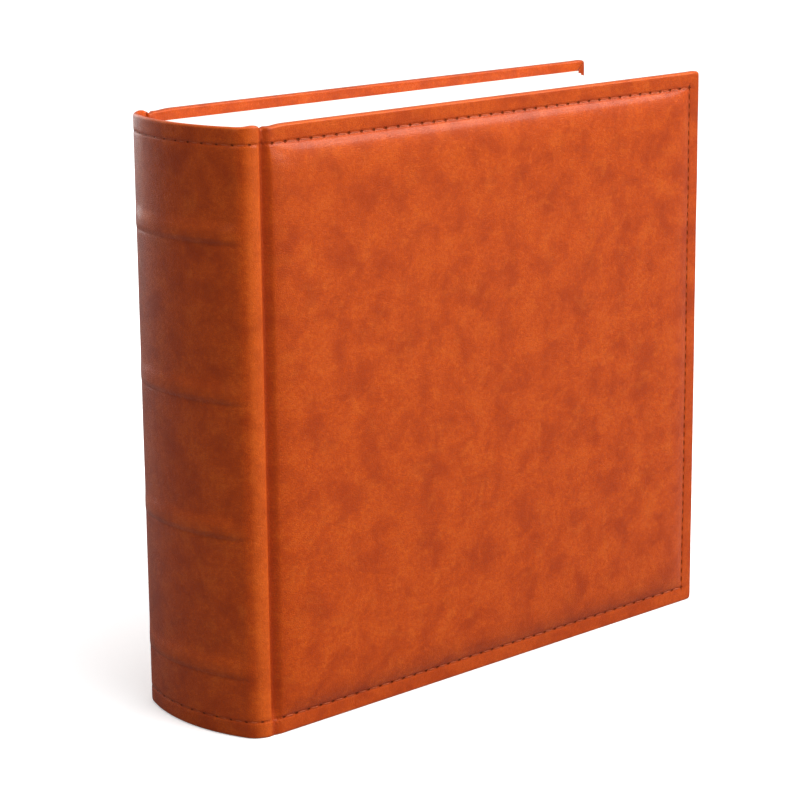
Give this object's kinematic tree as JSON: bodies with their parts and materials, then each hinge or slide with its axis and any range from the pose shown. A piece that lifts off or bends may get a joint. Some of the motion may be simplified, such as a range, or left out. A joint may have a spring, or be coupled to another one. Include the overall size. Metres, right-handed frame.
{
  "type": "scrapbook album",
  "caption": "Thick square scrapbook album with padded stitched leather covers, a rounded spine with raised bands and heavy card leaves, standing on its tail edge.",
  "frame": {"origin": "middle of the bounding box at the tail, where the standing album rests", "axes": "+X from the spine to the fore-edge, -Y out of the front cover, +Z from tail to head"},
  "size_m": [0.3534, 0.1018, 0.319],
  "materials": {
    "leather": "satin",
    "stitch_thread": "matte",
    "grey_board": "matte",
    "foam": "matte",
    "card": "matte",
    "band_core": "matte",
    "linen": "matte",
    "sewing_thread": "matte",
    "endpaper": "matte",
    "page_card": "matte"
  },
  "bodies": {
    "spine_and_binding": {"spine_leather": "leather", "spine_liner": "card", "spine_stitching": "stitch_thread", "spine_mull": "linen", "sewing_thread": "sewing_thread", "front_joint_leather": "leather", "back_joint_leather": "leather", "front_folded_roots": "page_card", "back_folded_roots": "page_card", "front_flyleaf_stub": "endpaper", "back_flyleaf_stub": "endpaper", "raised_band_1": "band_core", "raised_band_2": "band_core", "raised_band_3": "band_core", "raised_band_4": "band_core", "sewing_tape_1": "linen", "sewing_tape_2": "linen", "sewing_tape_3": "linen", "sewing_tape_4": "linen"},
    "front_cover": {"front_cover_leather": "leather", "front_cover_board": "grey_board", "front_foam_pad": "foam", "front_infill_card": "card", "front_pastedown": "endpaper", "front_stitching": "stitch_thread"},
    "front_flyleaf": {"front_flyleaf": "endpaper"},
    "front_leaves_01": {"front_leaves_01": "page_card"},
    "front_leaves_02": {"front_leaves_02": "page_card"},
    "front_leaves_03": {"front_leaves_03": "page_card"},
    "front_leaves_04": {"front_leaves_04": "page_card"},
    "front_leaves_05": {"front_leaves_05": "page_card"},
    "front_leaves_06": {"front_leaves_06": "page_card"},
    "front_leaves_07": {"front_leaves_07": "page_card"},
    "front_leaves_08": {"front_leaves_08": "page_card"},
    "front_leaves_09": {"front_leaves_09": "page_card"},
    "front_leaves_10": {"front_leaves_10": "page_card"},
    "front_leaves_11": {"front_leaves_11": "page_card"},
    "front_leaves_12": {"front_leaves_12": "page_card"},
    "back_cover": {"back_cover_leather": "leather", "back_cover_board": "grey_board", "back_foam_pad": "foam", "back_infill_card": "card", "back_pastedown": "endpaper", "back_stitching": "stitch_thread"},
    "back_flyleaf": {"back_flyleaf": "endpaper"},
    "back_leaves_01": {"back_leaves_01": "page_card"},
    "back_leaves_02": {"back_leaves_02": "page_card"},
    "back_leaves_03": {"back_leaves_03": "page_card"},
    "back_leaves_04": {"back_leaves_04": "page_card"},
    "back_leaves_05": {"back_leaves_05": "page_card"},
    "back_leaves_06": {"back_leaves_06": "page_card"},
    "back_leaves_07": {"back_leaves_07": "page_card"},
    "back_leaves_08": {"back_leaves_08": "page_card"},
    "back_leaves_09": {"back_leaves_09": "page_card"},
    "back_leaves_10": {"back_leaves_10": "page_card"},
    "back_leaves_11": {"back_leaves_11": "page_card"},
    "back_leaves_12": {"back_leaves_12": "page_card"}
  },
  "joints": [
    {"name": "front_cover_hinge", "type": "hinge", "parent": "spine_and_binding", "child": "front_cover", "pos_m": [-0.15421, -0.04745, 0], "axis": [0, 0, -1], "range_deg": [0, 180], "deforming": ["front_joint_leather"]},
    {"name": "front_flyleaf_turn", "type": "hinge", "parent": "spine_and_binding", "child": "front_flyleaf", "pos_m": [-0.14721, -0.04195, 0], "axis": [0, 0, -1], "range_deg": [0, 82.81]},
    {"name": "front_leaves_01_turn", "type": "hinge", "parent": "spine_and_binding", "child": "front_leaves_01", "pos_m": [-0.14672, -0.04125, 0], "axis": [0, 0, -1], "range_deg": [0, 75.61]},
    {"name": "front_leaves_02_turn", "type": "hinge", "parent": "spine_and_binding", "child": "front_leaves_02", "pos_m": [-0.1443, -0.0378, 0], "axis": [0, 0, -1], "range_deg": [0, 69.31]},
    {"name": "front_leaves_03_turn", "type": "hinge", "parent": "spine_and_binding", "child": "front_leaves_03", "pos_m": [-0.14189, -0.03435, 0], "axis": [0, 0, -1], "range_deg": [0, 63.01]},
    {"name": "front_leaves_04_turn", "type": "hinge", "parent": "spine_and_binding", "child": "front_leaves_04", "pos_m": [-0.13947, -0.0309, 0], "axis": [0, 0, -1], "range_deg": [0, 56.71]},
    {"name": "front_leaves_05_turn", "type": "hinge", "parent": "spine_and_binding", "child": "front_leaves_05", "pos_m": [-0.13706, -0.02745, 0], "axis": [0, 0, -1], "range_deg": [0, 50.41]},
    {"name": "front_leaves_06_turn", "type": "hinge", "parent": "spine_and_binding", "child": "front_leaves_06", "pos_m": [-0.13464, -0.024, 0], "axis": [0, 0, -1], "range_deg": [0, 44.11]},
    {"name": "front_leaves_07_turn", "type": "hinge", "parent": "spine_and_binding", "child": "front_leaves_07", "pos_m": [-0.13222, -0.02055, 0], "axis": [0, 0, -1], "range_deg": [0, 37.81]},
    {"name": "front_leaves_08_turn", "type": "hinge", "parent": "spine_and_binding", "child": "front_leaves_08", "pos_m": [-0.12981, -0.0171, 0], "axis": [0, 0, -1], "range_deg": [0, 31.51]},
    {"name": "front_leaves_09_turn", "type": "hinge", "parent": "spine_and_binding", "child": "front_leaves_09", "pos_m": [-0.12739, -0.01365, 0], "axis": [0, 0, -1], "range_deg": [0, 25.21]},
    {"name": "front_leaves_10_turn", "type": "hinge", "parent": "spine_and_binding", "child": "front_leaves_10", "pos_m": [-0.12498, -0.0102, 0], "axis": [0, 0, -1], "range_deg": [0, 18.91]},
    {"name": "front_leaves_11_turn", "type": "hinge", "parent": "spine_and_binding", "child": "front_leaves_11", "pos_m": [-0.12256, -0.00675, 0], "axis": [0, 0, -1], "range_deg": [0, 12.61]},
    {"name": "front_leaves_12_turn", "type": "hinge", "parent": "spine_and_binding", "child": "front_leaves_12", "pos_m": [-0.12015, -0.0033, 0], "axis": [0, 0, -1], "range_deg": [0, 6.31]},
    {"name": "back_cover_hinge", "type": "hinge", "parent": "spine_and_binding", "child": "back_cover", "pos_m": [-0.15421, 0.04745, 0], "axis": [0, 0, 1], "range_deg": [0, 180], "deforming": ["back_joint_leather"]},
    {"name": "back_flyleaf_turn", "type": "hinge", "parent": "spine_and_binding", "child": "back_flyleaf", "pos_m": [-0.14721, 0.04195, 0], "axis": [0, 0, 1], "range_deg": [0, 82.81]},
    {"name": "back_leaves_01_turn", "type": "hinge", "parent": "spine_and_binding", "child": "back_leaves_01", "pos_m": [-0.14672, 0.04125, 0], "axis": [0, 0, 1], "range_deg": [0, 75.61]},
    {"name": "back_leaves_02_turn", "type": "hinge", "parent": "spine_and_binding", "child": "back_leaves_02", "pos_m": [-0.1443, 0.0378, 0], "axis": [0, 0, 1], "range_deg": [0, 69.31]},
    {"name": "back_leaves_03_turn", "type": "hinge", "parent": "spine_and_binding", "child": "back_leaves_03", "pos_m": [-0.14189, 0.03435, 0], "axis": [0, 0, 1], "range_deg": [0, 63.01]},
    {"name": "back_leaves_04_turn", "type": "hinge", "parent": "spine_and_binding", "child": "back_leaves_04", "pos_m": [-0.13947, 0.0309, 0], "axis": [0, 0, 1], "range_deg": [0, 56.71]},
    {"name": "back_leaves_05_turn", "type": "hinge", "parent": "spine_and_binding", "child": "back_leaves_05", "pos_m": [-0.13706, 0.02745, 0], "axis": [0, 0, 1], "range_deg": [0, 50.41]},
    {"name": "back_leaves_06_turn", "type": "hinge", "parent": "spine_and_binding", "child": "back_leaves_06", "pos_m": [-0.13464, 0.024, 0], "axis": [0, 0, 1], "range_deg": [0, 44.11]},
    {"name": "back_leaves_07_turn", "type": "hinge", "parent": "spine_and_binding", "child": "back_leaves_07", "pos_m": [-0.13222, 0.02055, 0], "axis": [0, 0, 1], "range_deg": [0, 37.81]},
    {"name": "back_leaves_08_turn", "type": "hinge", "parent": "spine_and_binding", "child": "back_leaves_08", "pos_m": [-0.12981, 0.0171, 0], "axis": [0, 0, 1], "range_deg": [0, 31.51]},
    {"name": "back_leaves_09_turn", "type": "hinge", "parent": "spine_and_binding", "child": "back_leaves_09", "pos_m": [-0.12739, 0.01365, 0], "axis": [0, 0, 1], "range_deg": [0, 25.21]},
    {"name": "back_leaves_10_turn", "type": "hinge", "parent": "spine_and_binding", "child": "back_leaves_10", "pos_m": [-0.12498, 0.0102, 0], "axis": [0, 0, 1], "range_deg": [0, 18.91]},
    {"name": "back_leaves_11_turn", "type": "hinge", "parent": "spine_and_binding", "child": "back_leaves_11", "pos_m": [-0.12256, 0.00675, 0], "axis": [0, 0, 1], "range_deg": [0, 12.61]},
    {"name": "back_leaves_12_turn", "type": "hinge", "parent": "spine_and_binding", "child": "back_leaves_12", "pos_m": [-0.12015, 0.0033, 0], "axis": [0, 0, 1], "range_deg": [0, 6.31]}
  ],
  "couplings": [
    {"joint": "front_flyleaf_turn", "follows": "front_cover_hinge", "ratio": 0.46},
    {"joint": "front_leaves_01_turn", "follows": "front_cover_hinge", "ratio": 0.42},
    {"joint": "front_leaves_02_turn", "follows": "front_cover_hinge", "ratio": 0.385},
    {"joint": "front_leaves_03_turn", "follows": "front_cover_hinge", "ratio": 0.35},
    {"joint": "front_leaves_04_turn", "follows": "front_cover_hinge", "ratio": 0.315},
    {"joint": "front_leaves_05_turn", "follows": "front_cover_hinge", "ratio": 0.28},
    {"joint": "front_leaves_06_turn", "follows": "front_cover_hinge", "ratio": 0.245},
    {"joint": "front_leaves_07_turn", "follows": "front_cover_hinge", "ratio": 0.21},
    {"joint": "front_leaves_08_turn", "follows": "front_cover_hinge", "ratio": 0.175},
    {"joint": "front_leaves_09_turn", "follows": "front_cover_hinge", "ratio": 0.14},
    {"joint": "front_leaves_10_turn", "follows": "front_cover_hinge", "ratio": 0.105},
    {"joint": "front_leaves_11_turn", "follows": "front_cover_hinge", "ratio": 0.07},
    {"joint": "front_leaves_12_turn", "follows": "front_cover_hinge", "ratio": 0.035},
    {"joint": "back_flyleaf_turn", "follows": "back_cover_hinge", "ratio": 0.46},
    {"joint": "back_leaves_01_turn", "follows": "back_cover_hinge", "ratio": 0.42},
    {"joint": "back_leaves_02_turn", "follows": "back_cover_hinge", "ratio": 0.385},
    {"joint": "back_leaves_03_turn", "follows": "back_cover_hinge", "ratio": 0.35},
    {"joint": "back_leaves_04_turn", "follows": "back_cover_hinge", "ratio": 0.315},
    {"joint": "back_leaves_05_turn", "follows": "back_cover_hinge", "ratio": 0.28},
    {"joint": "back_leaves_06_turn", "follows": "back_cover_hinge", "ratio": 0.245},
    {"joint": "back_leaves_07_turn", "follows": "back_cover_hinge", "ratio": 0.21},
    {"joint": "back_leaves_08_turn", "follows": "back_cover_hinge", "ratio": 0.175},
    {"joint": "back_leaves_09_turn", "follows": "back_cover_hinge", "ratio": 0.14},
    {"joint": "back_leaves_10_turn", "follows": "back_cover_hinge", "ratio": 0.105},
    {"joint": "back_leaves_11_turn", "follows": "back_cover_hinge", "ratio": 0.07},
    {"joint": "back_leaves_12_turn", "follows": "back_cover_hinge", "ratio": 0.035}
  ]
}
